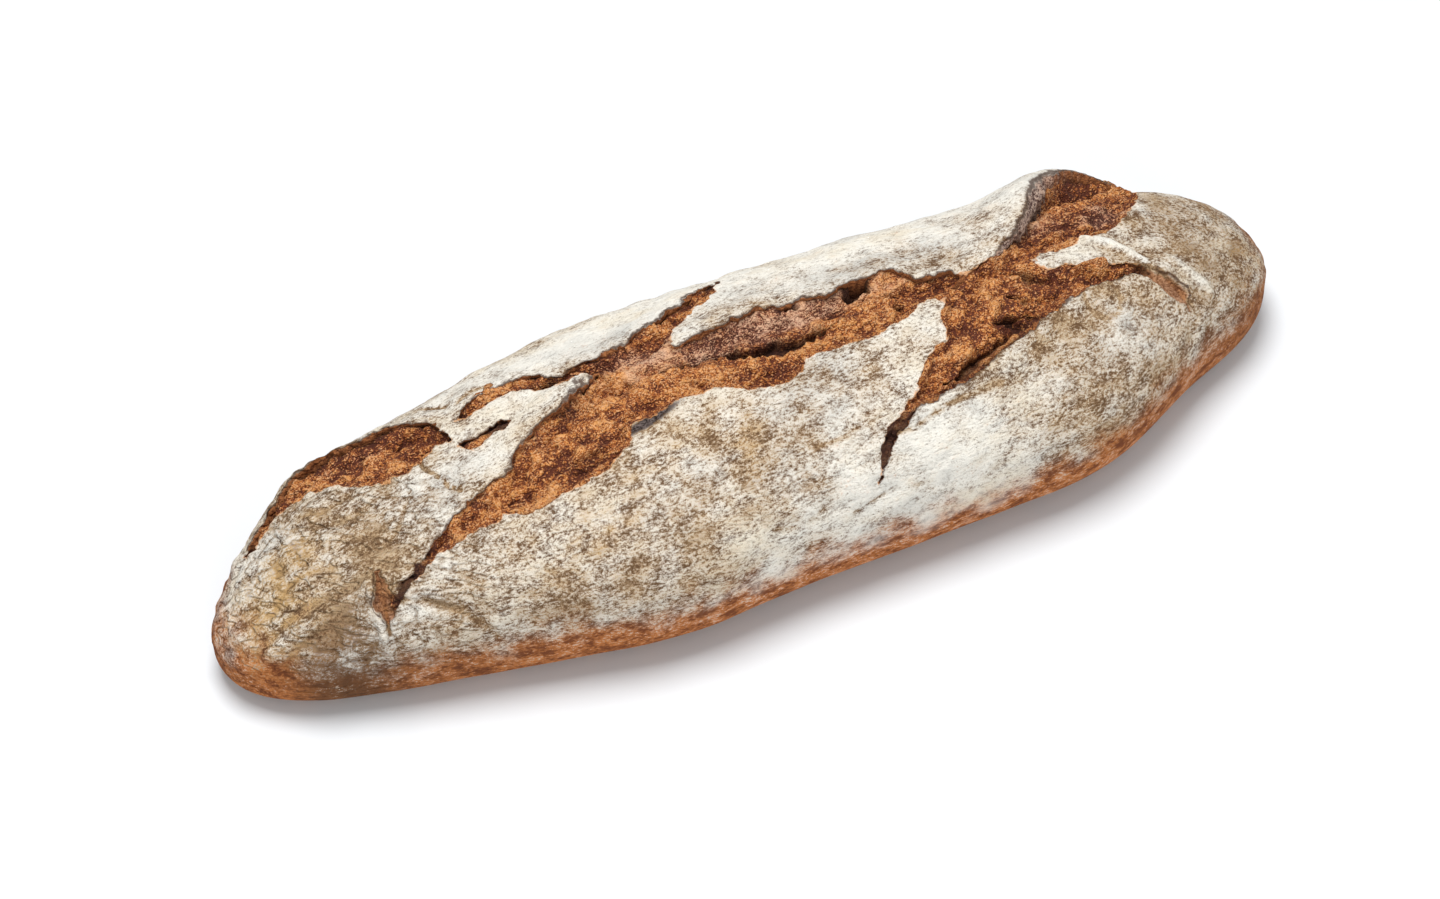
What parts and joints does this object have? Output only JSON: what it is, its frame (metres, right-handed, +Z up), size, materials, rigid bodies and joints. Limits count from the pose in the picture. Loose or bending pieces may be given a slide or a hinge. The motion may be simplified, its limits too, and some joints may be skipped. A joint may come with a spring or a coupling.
{
  "type": "buckwheat bread loaf",
  "caption": "Long oval rustic loaf with a floured crust torn open along the top, uncut, resting on its flat base.",
  "frame": {"origin": "centre of the loaf's box on the flat base", "axes": "+X along the loaf, +Y across it and away from its usual front, +Z up from the base"},
  "size_m": [0.421, 0.1224, 0.0818],
  "materials": {
    "crust": "matt floured crust, brown at the base, with rough reddish-brown crumb in the tears"
  },
  "bodies": {
    "root": {"loaf": "crust"}
  },
  "joints": []
}
